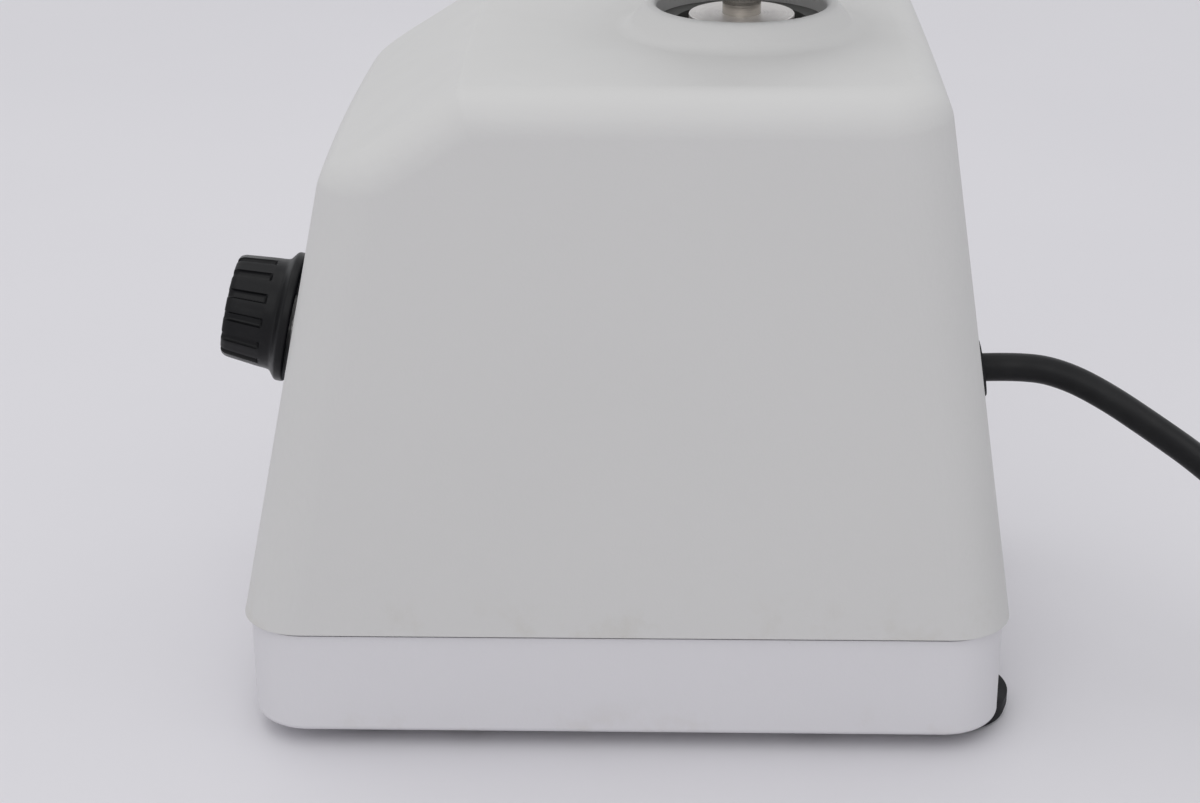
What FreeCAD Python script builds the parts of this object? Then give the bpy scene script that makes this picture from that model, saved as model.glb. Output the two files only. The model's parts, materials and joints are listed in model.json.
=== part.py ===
import FreeCAD, Part
import math
import os

# Vortex mixer: a painted cover on a cast base, an eccentric head driven by a vertical motor,
# a speed knob and a three-way rocker on the front, and a mains lead out of the back.
# Millimetres, +Z up, front towards -Y. Origin: middle of the footprint, on the table.

V = FreeCAD.Vector

# --- driving dimensions -------------------------------------------------------------------
wall = 3.0

# base pan
base_half_width = 59.7
base_front = -83.9
base_rear = 88.2
base_bottom = 4.1
base_top = 28.7
base_corner = 13.5
base_edge_round = 1.5

# cover, as a side outline: foot and bend of each wall, at its corners
cover_half_width = 60.7
cover_half_width_top = 60.3
cover_foot_z = 29.5
cover_front_foot = -84.6
cover_bend = (-61.7, 134.8)
cover_top_front = -31.1
cover_top_rear = 70.1
cover_rear_foot = 89.5
cover_top_z = 154.0
front_crown = 1.5
rear_crown = 0.4
cover_corner = 14.0
upper_round = 9.5
crease_round = 2.5

# raised ring around the head
axis_y = 28.0
mouth_radius = 19.2
boss_height = 5.6
boss_foot_radius = 27.5
mouth_wall_height = 4.2

# feet
foot_radius = 14.0
foot_x = 38.0
foot_front_y = -56.6
foot_rear_y = 77.7

# drive
shaft_radius = 4.0
orbit_radius = 2.45
running_gap = 0.05
touch_travel = 1.2
motor_radius = 29.0
motor_plate_z = 38.0
motor_bottom = 41.0
can_bottom = 46.0
can_top = 114.0
motor_top = 119.0
hub_bottom = 124.0
hub_top = 148.0
hub_radius = 17.0
bearing_radius = 11.0
bearing_width = 7.0

# head
disc_radius = 11.9
disc_top = cover_top_z + boss_height - 2.0
disc_thickness = 1.6
post_radius = 4.35
spigot_radius = 4.0
post_shoulder = disc_top + 8.2
post_top = post_shoulder + 12.5
cup_height = 25.0
cup_radius = 22.5

# front panel: place on the front wall, measured from the apex of its crown
panel_z = 91.0
plate_recess = 1.5
plate_thickness = 0.8
knob_x = 22.0
rocker_x = -20.0
knob_front = 16.4
knob_radius = 11.8
knob_skirt_radius = 15.0

# mains lead
cord_radius = 3.4
gland_z = 70.2
gland_radius = 7.6
gland_out = 3.4


# --- small helpers ------------------------------------------------------------------------
def cyl(radius, z0, z1, x=0.0, y=0.0):
    return Part.makeCylinder(radius, z1 - z0, V(x, y, z0))


def ring(outer, inner, z0, z1, x=0.0, y=0.0):
    return cyl(outer, z0, z1, x, y).cut(cyl(inner, z0 - 1, z1 + 1, x, y))


def box(x0, x1, y0, y1, z0, z1):
    return Part.makeBox(x1 - x0, y1 - y0, z1 - z0, V(x0, y0, z0))


def round_box(x0, x1, y0, y1, z0, z1, radius):
    block = box(x0, x1, y0, y1, z0, z1)
    upright = [e for e in block.Edges if abs(e.tangentAt(e.FirstParameter).z) > 0.9]
    return block.makeFillet(radius, upright)


def revolve(points, x=0.0, y=0.0):
    """Turn an outline of (radius, z) corners about the upright through (x, y)."""
    face = Part.Face(Part.makePolygon([V(x + r, y, z) for r, z in points + points[:1]]))
    return face.revolve(V(x, y, 0), V(0, 0, 1), 360)


def fuse(shapes):
    body = shapes[0].multiFuse(shapes[1:])
    return body.removeSplitter()


def turn_about(shape, x, y, degrees):
    copy = shape.copy()
    copy.rotate(V(x, y, 0), V(0, 0, 1), degrees)
    return copy


def spread(shape, count, x, y, start=0.0):
    return [turn_about(shape, x, y, start + 360.0 * k / count) for k in range(count)]


def machine_screw(radius, length, head_radius, head_height):
    """A pan-head screw: head above z = 0, shank below it, with a cross slot."""
    screw = cyl(head_radius, 0, head_height).fuse(cyl(radius, -length, 0))
    slot = box(-head_radius * 0.7, head_radius * 0.7, -0.4, 0.4, head_height * 0.5, head_height + 1)
    return screw.cut(slot).cut(turn_about(slot, 0, 0, 90))


def moved(shape, x, y, z):
    copy = shape.copy()
    copy.translate(V(x, y, z))
    return copy


# --- frames on the two inclined walls -----------------------------------------------------
front_tilt = math.atan2(cover_bend[0] - cover_front_foot, cover_bend[1] - cover_foot_z)
rear_tilt = math.atan2(cover_rear_foot - cover_top_rear, cover_top_z - cover_foot_z)


def front_y(z):
    """Y of the front wall's crown apex at height z."""
    return cover_front_foot - front_crown + (z - cover_foot_z) * math.tan(front_tilt)


def rear_y(z):
    """Y of the rear wall's crown apex at height z."""
    return cover_rear_foot + rear_crown - (z - cover_foot_z) * math.tan(rear_tilt)


def on_front(shape):
    """Local X stays X, local Y runs up the wall, local Z points out of it."""
    copy = shape.copy()
    copy.rotate(V(0, 0, 0), V(1, 0, 0), 90 - math.degrees(front_tilt))
    copy.translate(V(0, front_y(panel_z), panel_z))
    return copy


def on_rear(shape):
    copy = shape.copy()
    copy.rotate(V(0, 0, 0), V(0, 0, 1), 180)
    copy.rotate(V(0, 0, 0), V(1, 0, 0), -90 + math.degrees(rear_tilt))
    copy.translate(V(0, rear_y(gland_z), gland_z))
    return copy


# --- cover --------------------------------------------------------------------------------
def side_outline(inset):
    """Corners of the cover's side outline, each wall moved in by the inset."""
    corners = [(cover_front_foot, cover_foot_z), cover_bend, (cover_top_front, cover_top_z),
               (cover_top_rear, cover_top_z), (cover_rear_foot, cover_foot_z)]
    lines = []
    for (y0, z0), (y1, z1) in zip(corners, corners[1:]):
        run = math.hypot(y1 - y0, z1 - z0)
        normal = ((z1 - z0) / run, -(y1 - y0) / run)
        lines.append((y0 + normal[0] * inset, z0 + normal[1] * inset, y1 - y0, z1 - z0))
    inner = []
    for (ya, za, dya, dza), (yb, zb, dyb, dzb) in zip(lines, lines[1:]):
        t = ((yb - ya) * dzb - (zb - za) * dyb) / (dya * dzb - dza * dyb)
        inner.append((ya + t * dya, za + t * dza))
    drop = 0.0 if inset == 0 else 6.0
    first = lines[0]
    last = lines[-1]
    foot = first[0] - first[2] / first[3] * (first[1] - cover_foot_z + drop)
    rear = last[0] - last[2] / last[3] * (last[1] - cover_foot_z + drop)
    return [(foot, cover_foot_z - drop)] + inner + [(rear, cover_foot_z - drop)]


def crowned_wall(low, high, crown, half_width, outward):
    """A large cylinder lying along a wall, so that the wall bulges by its crown."""
    run = V(0, high[0] - low[0], high[1] - low[1])
    run.normalize()
    normal = V(0, -run.z, run.y) if outward < 0 else V(0, run.z, -run.y)
    sagitta = crown * max(abs(normal.y), 0.4)
    radius = half_width * half_width / (2 * sagitta)
    middle = V(0, (low[0] + high[0]) / 2 + outward * crown, (low[1] + high[1]) / 2)
    return Part.makeCylinder(radius, 800, middle - normal * radius - run * 400, run)


def rect_at(half_width, z):
    return Part.makePolygon([V(-half_width, -150, z), V(half_width, -150, z), V(half_width, 150, z),
                             V(-half_width, 150, z), V(-half_width, -150, z)])


def edge_middle(edge):
    return edge.valueAt((edge.FirstParameter + edge.LastParameter) / 2)


def side_edges(body, half_width, low, high, rear):
    """Edges at the two flanks that climb between two heights, at the front or at the rear."""
    chosen = []
    for edge in body.Edges:
        if len(edge.Vertexes) < 2:
            continue
        middle = edge_middle(edge)
        climb = abs(edge.Vertexes[0].Z - edge.Vertexes[1].Z)
        at_flank = abs(middle.x) > half_width * 0.8
        if at_flank and climb > 8 and low < middle.z < high and (middle.y > 20) == rear:
            chosen.append(edge)
    return chosen


def top_edges(body, half_width, top_z):
    """Edges around the flat top, all but the bend at its front."""
    chosen = []
    for edge in body.Edges:
        if len(edge.Vertexes) < 2:
            continue
        middle = edge_middle(edge)
        across = abs(edge.Vertexes[0].X - edge.Vertexes[1].X) > 40
        level = abs(middle.z - top_z) < 0.5
        if level and (abs(middle.x) > half_width * 0.8 or (across and middle.y > 20)):
            chosen.append(edge)
    return chosen


def cover_body(inset):
    """Outer shape of the cover for inset 0, its hollow for inset = wall."""
    foot, bend, top_front, top_rear, rear = side_outline(inset)
    width_low = cover_half_width - inset
    width_top = cover_half_width_top - inset
    block = Part.makeLoft([rect_at(width_low, foot[1]), rect_at(width_top, top_front[1])], True, True)
    body = block.common(crowned_wall(foot, bend, front_crown, width_low, -1))
    body = body.common(crowned_wall(bend, top_front, front_crown, width_low, -1))
    body = body.common(crowned_wall(rear, top_rear, rear_crown, width_low, 1))
    corner = cover_corner - inset
    body = body.makeFillet(corner, side_edges(body, width_low, 0, 200, True))
    body = body.makeFillet(corner, side_edges(body, width_low, 0, bend[1] - 4, False))
    slope = side_edges(body, width_low, bend[1] - 4, 200, False)
    return body.makeFillet(upper_round - inset, slope + top_edges(body, width_low, top_front[1]))


def soften_bend(body):
    """Round the crease between the sloped panel and the flat top."""
    crease = [e for e in body.Edges if len(e.Vertexes) == 2
              and abs(edge_middle(e).z - cover_top_z) < 0.5 and edge_middle(e).y < cover_top_front + 6
              and abs(e.Vertexes[0].X - e.Vertexes[1].X) > 30]
    return body.makeFillet(crease_round, crease[:1])


def mirrored(body):
    """The right half of a body and its mirror image, as one body."""
    half = body.common(box(0, 200, -200, 200, -100, 300))
    return half.fuse(half.mirror(V(0, 0, 0), V(1, 0, 0))).removeSplitter()


def boss_ring():
    """The swelling around the mouth: a rounded lip that runs out into the flat top."""
    top = cover_top_z + boss_height
    lip = mouth_radius + 1.2
    swell = Part.BezierCurve()
    swell.setPoles([V(lip, 0, top), V(lip + 3.6, 0, top), V(lip + 2.6, 0, cover_top_z),
                    V(boss_foot_radius + 1.5, 0, cover_top_z)])
    seat = top - mouth_wall_height
    under = cover_top_z - wall
    corner = V(mouth_radius + 0.35, 0, top - 0.35)
    edges = [Part.Arc(V(mouth_radius, 0, top - 1.2), corner, V(lip, 0, top)).toShape(),
             swell.toShape(),
             Part.makePolygon([V(boss_foot_radius + 1.5, 0, cover_top_z), V(boss_foot_radius + 1.5, 0, under),
                               V(24.6, 0, under), V(21.2, 0, seat), V(mouth_radius, 0, seat),
                               V(mouth_radius, 0, top - 1.2)])]
    face = Part.Face(Part.Wire(Part.__sortEdges__([e for s in edges for e in s.Edges])))
    boss = face.revolve(V(0, 0, 0), V(0, 0, 1), 360)
    return moved(boss, 0, axis_y, 0)


cover_lug_y = (-34.0, 46.0)


def cover_lugs():
    """Four blocks on the flanks inside, which take the screws from below."""
    lugs = []
    for side in (-1, 1):
        for y in cover_lug_y:
            x0, x1 = sorted((side * 45.0, side * (cover_half_width - 1.0)))
            block = box(x0, x1, y - 6, y + 6, cover_foot_z + 1.5, cover_foot_z + 14)
            lugs.append(block.cut(cyl(1.65, 20, cover_foot_z + 12, side * 51.0, y)))
    return lugs


def cover():
    """One-piece moulded cover with its mouth, panel recess and wall openings."""
    shell = mirrored(soften_bend(cover_body(0))).cut(cover_body(wall))
    shell = shell.cut(cyl(boss_foot_radius + 1.5, cover_top_z - wall - 1, cover_top_z + 1, 0, axis_y))
    shell = fuse([shell, boss_ring()] + cover_lugs())
    pads = [on_front(cyl(11.0, -5.0, -2.2, knob_x)),
            on_front(round_box(rocker_x - 10, rocker_x + 10, -14, 14, -5.0, -2.2, 2.0))]
    shell = fuse([shell] + pads)
    shell = shell.cut(on_front(round_box(-40.2, 40.2, -21.2, 21.2, -plate_recess, 3, 4.2)))
    shell = shell.cut(on_front(cyl(4.8, -12, 3, knob_x)))
    shell = shell.cut(on_front(box(rocker_x - 6.7, rocker_x + 6.7, -10.2, 10.2, -12, 3)))
    return shell.cut(on_rear(cyl(7.05, -12, 6)))


# --- base ---------------------------------------------------------------------------------
motor_posts = [(sx * 25.0, axis_y + sy * 25.0) for sx in (-1, 1) for sy in (-1, 1)]
foot_places = [(sx * foot_x, y) for sx in (-1, 1) for y in (foot_front_y, foot_rear_y)]
board_posts = [(sx * 30.0, y) for sx in (-1, 1) for y in (-70.0, -28.0)]
lug_screws = [(sx * 51.0, y) for sx in (-1, 1) for y in cover_lug_y]
floor_z = base_bottom + wall


def bottom_rim(body, z):
    return [e for e in body.Edges if all(abs(v.Z - z) < 0.01 for v in e.Vertexes)]


def base_pan():
    """Cast tray: rounded corners, posts for the motor plate, the board, the cover and the feet."""
    outer = round_box(-base_half_width, base_half_width, base_front, base_rear,
                      base_bottom, base_top, base_corner)
    outer = outer.makeFillet(base_edge_round, bottom_rim(outer, base_bottom))
    hollow = round_box(-base_half_width + wall, base_half_width - wall, base_front + wall,
                       base_rear - wall, floor_z, base_top + 5, base_corner - wall)
    pan = outer.cut(hollow)
    lip = round_box(-base_half_width + 1.9, base_half_width - 1.9, base_front + 1.9,
                    base_rear - 1.9, base_top - 2, base_top + 2.3, base_corner - 1.9)
    lip = lip.cut(round_box(-base_half_width + 3.6, base_half_width - 3.6, base_front + 3.6,
                            base_rear - 3.6, base_top - 3, base_top + 3, base_corner - 3.6))
    adds = [lip.common(box(-60, 60, -100, 100, base_top - 2, base_top + 0.75))]
    adds += [cyl(5.5, floor_z - 1, 34.0, x, y) for x, y in motor_posts]
    adds += [cyl(3.5, floor_z - 1, 30.0, x, y) for x, y in board_posts]
    adds += [cyl(4.5, floor_z - 1, 18.0, x, y) for x, y in foot_places]
    adds += [cyl(5.0, floor_z - 1, cover_foot_z + 1.5, x, y) for x, y in lug_screws]
    pan = fuse([pan] + adds)
    for x, y in motor_posts:
        pan = pan.cut(cyl(2.0 + running_gap, 20, 40, x, y))
    for x, y in board_posts:
        pan = pan.cut(cyl(1.5 + running_gap, 20, 40, x, y))
    for x, y in foot_places:
        pan = pan.cut(cyl(2.0 + running_gap, 0, 16.5, x, y))
        pan = pan.cut(cyl(foot_radius + 0.2, 0, base_bottom + 1.0, x, y))
    for x, y in lug_screws:
        pan = pan.cut(cyl(1.75, 0, 50, x, y)).cut(cyl(3.9, 0, 13, x, y))
    for y in ballast_screw_y:
        pan = pan.cut(cyl(2.0 + running_gap, floor_z - 2.5, floor_z + 1, 0, y))
    return pan


def seam_gasket():
    """Thin black seal between the rims of the pan and the cover."""
    outer = round_box(-base_half_width + 0.9, base_half_width - 0.9, base_front + 0.9,
                      base_rear - 0.9, base_top, cover_foot_z, base_corner - 0.9)
    return outer.cut(round_box(-base_half_width + 1.9, base_half_width - 1.9, base_front + 1.9,
                               base_rear - 1.9, base_top - 1, base_top + 3, base_corner - 1.9))


def foot():
    """Rubber foot with a recess for its screw head, seated in the pan's shallow pocket."""
    top = base_bottom + 1.0
    return revolve([(3.9, 0.8), (5.0, 0.0), (foot_radius - 1.6, 0.0), (foot_radius - 0.5, 0.8),
                    (foot_radius, 2.6), (foot_radius, top), (2.3, top), (2.3, 3.4), (3.9, 3.4)])


def foot_screws():
    screw = machine_screw(2.0, 12.0, 3.6, 2.2)
    screw.rotate(V(0, 0, 0), V(1, 0, 0), 180)
    return Part.Compound([moved(screw, x, y, 3.4) for x, y in foot_places])


def cover_screws():
    screw = machine_screw(1.6, 27.0, 3.4, 2.2)
    screw.rotate(V(0, 0, 0), V(1, 0, 0), 180)
    return Part.Compound([moved(screw, x, y, 13.0) for x, y in lug_screws])


ballast_screw_y = (-50.0, 70.0)


def ballast_plate():
    """Steel weight on the pan's floor, with clearance for the posts."""
    plate = round_box(-33.5, 33.5, -78, 80, floor_z, floor_z + 8.7, 6)
    for x, y in motor_posts:
        plate = plate.cut(cyl(6.0, 0, 30, x, y))
    for x, y in board_posts:
        plate = plate.cut(cyl(4.2, 0, 30, x, y))
    for x, y in foot_places:
        plate = plate.cut(cyl(5.2, 0, 30, x, y))
    for y in ballast_screw_y:
        plate = plate.cut(cyl(2.1, 0, 30, 0, y))
    return plate


ballast_top = floor_z + 8.7


def ballast_screws():
    screw = machine_screw(2.0, 11.0, 3.6, 2.2)
    return Part.Compound([moved(screw, 0, y, ballast_top) for y in ballast_screw_y])


# --- motor --------------------------------------------------------------------------------
tie_bolt_x = 32.5
upper_bushing_top = 121.0
commutator_bottom = 54.0
commutator_top = 66.0
commutator_radius = 10.0
core_bottom = 74.0
core_top = 98.0
core_radius = 20.5
brush_z = 60.0


def motor_grommets():
    return Part.Compound([ring(7.0, 2.6, 34.0, motor_plate_z, x, y) for x, y in motor_posts])


def motor_plate():
    plate = round_box(-38, 38, axis_y - 38, axis_y + 38, motor_plate_z, motor_bottom, 6)
    plate = plate.cut(cyl(12.0, 30, 50, 0, axis_y))
    for x, y in motor_posts:
        plate = plate.cut(cyl(2.6, 30, 50, x, y))
    for side in (-1, 1):
        plate = plate.cut(cyl(2.1, 30, 50, side * tie_bolt_x, axis_y))
    return plate


def motor_plate_screws():
    screw = machine_screw(2.0, 16.0, 3.6, 2.4)
    return Part.Compound([moved(screw, x, y, motor_bottom) for x, y in motor_posts])


def end_bell(z0, z1):
    """Motor end cap with two ears for the tie bolts and a seat for the bushing."""
    ears = [cyl(5.0, z0, z1, side * tie_bolt_x, axis_y) for side in (-1, 1)]
    web = box(-tie_bolt_x, tie_bolt_x, axis_y - 5, axis_y + 5, z0, z1)
    bell = fuse([cyl(motor_radius, z0, z1, 0, axis_y), web] + ears)
    for x, y in motor_posts:
        bell = bell.cut(cyl(4.2, z0 - 1, z1 + 1, x, y))
    for side in (-1, 1):
        bell = bell.cut(cyl(2.1, z0 - 1, z1 + 1, side * tie_bolt_x, axis_y))
    return bell.cut(cyl(7.0, z0 - 1, z1 + 1, 0, axis_y))


def motor_can():
    can = ring(27.5, 25.6, can_bottom, can_top, 0, axis_y)
    vent = box(-2.0, 2.0, axis_y + 20, axis_y + 32, 102, 110)
    for slot in spread(vent, 8, 0, axis_y, 22.5):
        can = can.cut(slot)
    return can


def tie_bolts():
    bolt = machine_screw(1.9, motor_top - motor_plate_z, 3.4, 2.4)
    return Part.Compound([moved(bolt, side * tie_bolt_x, axis_y, motor_top) for side in (-1, 1)])


def bushing(z0, z1):
    return ring(7.0, shaft_radius + running_gap, z0, z1, 0, axis_y)


def motor_magnets():
    full = ring(25.6, 21.6, core_bottom - 3, core_top + 3, 0, axis_y)
    gap = box(-7, 7, axis_y - 30, axis_y + 30, core_bottom - 5, core_top + 5)
    return Part.Compound(full.cut(gap).Solids)


def brush_holders():
    holders = []
    for side in (-1, 1):
        y0, y1 = sorted((axis_y + side * 12.0, axis_y + side * 24.8))
        sleeve = box(-4.5, 4.5, y0, y1, brush_z - 5, brush_z + 5)
        p0, p1 = sorted((axis_y + side * 11.0, axis_y + side * 23.4))
        holders.append(sleeve.cut(box(-3.0, 3.0, p0, p1, brush_z - 3.5, brush_z + 3.5)))
    return Part.Compound(holders)


def carbon_brushes():
    brushes = []
    for side in (-1, 1):
        y0, y1 = sorted((axis_y + side * (commutator_radius - 1.0), axis_y + side * 18.0))
        block = box(-2.9, 2.9, y0, y1, brush_z - 3.4, brush_z + 3.4)
        brushes.append(block.cut(cyl(commutator_radius + running_gap, 40, 90, 0, axis_y)))
    return Part.Compound(brushes)


def brush_springs():
    springs = []
    for side in (-1, 1):
        coil = Part.makeHelix(1.5, 4.5, 2.0)
        wire = Part.Wire(coil.Edges)
        start = wire.Edges[0].valueAt(wire.Edges[0].FirstParameter)
        heading = wire.Edges[0].tangentAt(wire.Edges[0].FirstParameter)
        profile = Part.Wire([Part.makeCircle(0.35, start, heading)])
        spring = wire.makePipeShell([profile], True, True)
        spring.rotate(V(0, 0, 0), V(1, 0, 0), -90 * side)
        springs.append(moved(spring, 0, axis_y + side * 18.25, brush_z))
    return Part.Compound(springs)


# --- rotor --------------------------------------------------------------------------------
def rotor_shaft():
    shaft = cyl(shaft_radius, 36.0, 132.0, 0, axis_y)
    return shaft.cut(box(3.2, 5, axis_y - 5, axis_y + 5, hub_bottom, 133))


def armature_core():
    core = ring(core_radius, shaft_radius, core_bottom, core_top, 0, axis_y)
    slot = fuse([box(-0.9, 0.9, axis_y + 17, axis_y + 22, core_bottom - 1, core_top + 1),
                 box(-2.2, 2.2, axis_y + 11, axis_y + 18, core_bottom - 1, core_top + 1)])
    for cut in spread(slot, 10, 0, axis_y, 18):
        core = core.cut(cut)
    return core


def armature_windings():
    """Copper in the core's slots, with a rounded head at each end."""
    coil = box(-2.0, 2.0, axis_y + 11.2, axis_y + 17.4, core_bottom - 1, core_top + 1)
    low = revolve([(shaft_radius + 0.3, 0), (shaft_radius + 0.3, -5), (9, -6.5), (15.5, -5),
                   (17.6, -2.5), (17.6, 0)], 0, 0)
    high = revolve([(shaft_radius + 0.3, 0), (17.6, 0), (17.6, 2.5), (15.5, 5), (9, 6.5),
                    (shaft_radius + 0.3, 5)], 0, 0)
    return fuse([moved(low, 0, axis_y, core_bottom), moved(high, 0, axis_y, core_top)]
                + spread(coil, 10, 0, axis_y, 18))


def commutator():
    drum = ring(commutator_radius, shaft_radius, commutator_bottom, commutator_top, 0, axis_y)
    slit = box(-0.25, 0.25, axis_y + 8.6, axis_y + 11, commutator_bottom - 1, commutator_top - 1.5)
    for cut in spread(slit, 10, 0, axis_y):
        drum = drum.cut(cut)
    return drum


def eccentric_hub():
    """Turned hub: bored for the shaft below, for the offset bearing above."""
    hub = cyl(hub_radius, hub_bottom, hub_top, 0, axis_y)
    hub = hub.cut(cyl(shaft_radius, hub_bottom - 1, 132.0, 0, axis_y))
    hub = hub.cut(cyl(bearing_radius, hub_top - bearing_width, hub_top + 1, orbit_radius, axis_y))
    hub = hub.cut(cyl(7.0, 136.0, hub_top, orbit_radius, axis_y))
    screw_hole = Part.makeCylinder(1.75, 20, V(0, axis_y, 128), V(0, -1, 0))
    return hub.cut(screw_hole)


def hub_set_screw():
    screw = Part.makeCylinder(1.7, 9, V(0, axis_y - shaft_radius, 128), V(0, -1, 0))
    socket = Part.makeCylinder(0.9, 3, V(0, axis_y - shaft_radius - 7, 128), V(0, -1, 0))
    return screw.cut(socket)


def counterweight():
    """Arc of steel opposite the bearing's offset."""
    arc = ring(25.0, hub_radius, 126.0, 139.0, 0, axis_y)
    arc = arc.common(box(-26, -4, axis_y - 26, axis_y + 26, 120, 140))
    for angle in (-30, 30):
        hole = Part.makeCylinder(1.6, 40, V(0, axis_y, 132.5), V(-1, 0, 0))
        hole.rotate(V(0, axis_y, 0), V(0, 0, 1), angle)
        arc = arc.cut(hole)
    return arc


def counterweight_screws():
    screws = []
    for angle in (-30, 30):
        shank = Part.makeCylinder(1.55, 25.0 - hub_radius, V(-hub_radius, axis_y, 132.5), V(-1, 0, 0))
        head = Part.makeCylinder(3.0, 1.8, V(-25.1, axis_y, 132.5), V(-1, 0, 0))
        screw = shank.fuse(Part.makeCylinder(1.55, 0.2, V(-25.0, axis_y, 132.5), V(-1, 0, 0))).fuse(head)
        screws.append(turn_about(screw.removeSplitter(), 0, axis_y, angle))
    return Part.Compound(screws)


# --- bearing and head ---------------------------------------------------------------------
ball_radius = 1.95
ball_pitch = 7.8
bearing_mid = hub_top - bearing_width / 2


def race(outer, inner):
    body = ring(outer, inner, hub_top - bearing_width, hub_top, orbit_radius, axis_y)
    groove = Part.makeTorus(ball_pitch, ball_radius + running_gap, V(orbit_radius, axis_y, bearing_mid))
    return body.cut(groove)


def bearing_balls():
    ball = Part.makeSphere(ball_radius, V(orbit_radius + ball_pitch, axis_y, bearing_mid))
    return Part.Compound(spread(ball, 7, orbit_radius, axis_y))


def head_spindle():
    """Turned post: journal in the bearing, collar under the disc, spigot for the cup."""
    spindle = revolve([(0, 139.0), (3.4, 139.0), (spigot_radius, 139.6), (spigot_radius, hub_top + 0.2),
                       (6.2, hub_top + 0.2), (6.2, disc_top - disc_thickness),
                       (post_radius, disc_top - disc_thickness), (post_radius, post_shoulder - 0.4),
                       (spigot_radius, post_shoulder), (spigot_radius, post_top - 1.0),
                       (3.0, post_top), (0, post_top)], orbit_radius, axis_y)
    return spindle


def head_disc():
    disc = ring(disc_radius, post_radius, disc_top - disc_thickness, disc_top, orbit_radius, axis_y)
    rim = [e for e in disc.Edges if len(e.Vertexes) == 1 and abs(e.Curve.Radius - disc_radius) < 0.01]
    return disc.makeFillet(0.3, rim)


def splash_ring():
    seat = cover_top_z + boss_height - mouth_wall_height
    return ring(20.8, 15.0, seat - 2.0, seat, 0, axis_y)


cup_inner = 8.5


def cup_core():
    """Hard bush inside the cup, which slips over the spigot."""
    return ring(cup_inner, spigot_radius + running_gap, post_shoulder, post_top + 1.0, orbit_radius, axis_y)


def cup_rubber():
    """Flared rubber cup with a dished top."""
    top = post_shoulder + cup_height
    outline = [(cup_inner, post_shoulder), (12.6, post_shoulder), (13.4, post_shoulder + 0.8),
               (15.2, post_shoulder + 7.0), (cup_radius - 1.2, post_shoulder + 15.5),
               (cup_radius, post_shoulder + 17.2), (cup_radius, top - 1.6), (cup_radius - 1.4, top),
               (18.6, top), (17.4, top - 1.0), (11.0, top - 7.4), (4.0, top - 9.6), (0, top - 9.8),
               (0, post_top + 1.0), (cup_inner, post_top + 1.0)]
    return revolve(outline, orbit_radius, axis_y)


# --- touch switch -------------------------------------------------------------------------
spring_low = 22.0
flange_z = 33.0


def thrust_guide():
    return revolve([(3.1, ballast_top), (8.0, ballast_top), (8.0, ballast_top + 2.5), (4.4, spring_low - 1.2),
                    (4.4, spring_low + 2.0), (3.1, spring_low + 2.0)], 0, axis_y) \
        .fuse(ring(8.0, 4.3, ballast_top, spring_low, 0, axis_y)).removeSplitter()


def touch_plunger():
    """Plunger under the shaft: a wide flange on a guided stem."""
    low = ballast_top + touch_travel + 0.8
    return revolve([(0, low), (3.0, low), (3.0, flange_z), (11.0, flange_z), (11.0, flange_z + 2.0),
                    (4.0, flange_z + 2.0), (4.0, 36.0), (0, 36.0)], 0, axis_y)


def touch_spring():
    turns = 4.5
    height = flange_z - spring_low
    pitch = (height - 1.4) / turns
    helix = Part.makeHelix(pitch, height - 1.4, 6.2)
    wire = Part.Wire(helix.Edges)
    first = wire.Edges[0]
    start = first.valueAt(first.FirstParameter)
    profile = Part.Wire([Part.makeCircle(0.6, start, first.tangentAt(first.FirstParameter))])
    coil = wire.makePipeShell([profile], True, True)
    return moved(coil, 0, axis_y, spring_low + 0.7)


def microswitch_bracket():
    foot_plate = box(12, 33, axis_y - 7, axis_y + 7, ballast_top, ballast_top + 2)
    upright = box(12, 33, axis_y + 3.4, axis_y + 5.2, ballast_top, 30)
    return fuse([foot_plate, upright]).cut(box(18, 27, axis_y - 8, axis_y - 5, 0, 40))


def microswitch_body():
    body = box(13.0, 32.8, axis_y - 3.2, axis_y + 3.3, ballast_top + 2.6, 28.6)
    button = cyl(1.1, 28.0, 29.3, 17.0, axis_y)
    ears = box(27.6, 30.4, axis_y - 3.2, axis_y + 3.3, 28.0, 30.0)
    hinge_ears = box(27.0, 31.0, axis_y - 3.2, axis_y - 2.4, 28.0, 32.2) \
        .fuse(box(27.0, 31.0, axis_y + 2.4, axis_y + 3.2, 28.0, 32.2))
    return fuse([body, button, ears.cut(box(27, 31, axis_y - 2.4, axis_y + 2.4, 28.6, 33)), hinge_ears])


def microswitch_lever():
    """Thin leaf on a cross pin, its tip just under the plunger's flange."""
    pin = Part.makeCylinder(0.6, 4.6, V(28.9, axis_y - 2.3, 30.6), V(0, 1, 0))
    leaf = box(8.4, 29.3, axis_y - 2.0, axis_y + 2.0, 30.9, 31.3)
    tip = Part.makeCylinder(0.85, 4.0, V(9.0, axis_y - 2.0, 31.85), V(0, 1, 0))
    return fuse([pin, leaf, tip])


# --- front controls -----------------------------------------------------------------------
plate_top = -plate_recess + plate_thickness


def dial_plate():
    plate = round_box(-40, 40, -21, 21, -plate_recess, plate_top, 4)
    plate = plate.cut(cyl(4.8, -5, 3, knob_x))
    plate = plate.cut(box(rocker_x - 6.7, rocker_x + 6.7, -10.2, 10.2, -5, 3))
    return on_front(plate)


def potentiometer_body():
    can = fuse([cyl(8.5, -14.0, -5.0, knob_x), box(knob_x - 6, knob_x + 6, -13, -4, -12.5, -10.9),
                cyl(4.7, -5.0, 3.2, knob_x)])
    can = can.cut(cyl(3.15, -12.0, 5, knob_x))
    return on_front(can)


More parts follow.
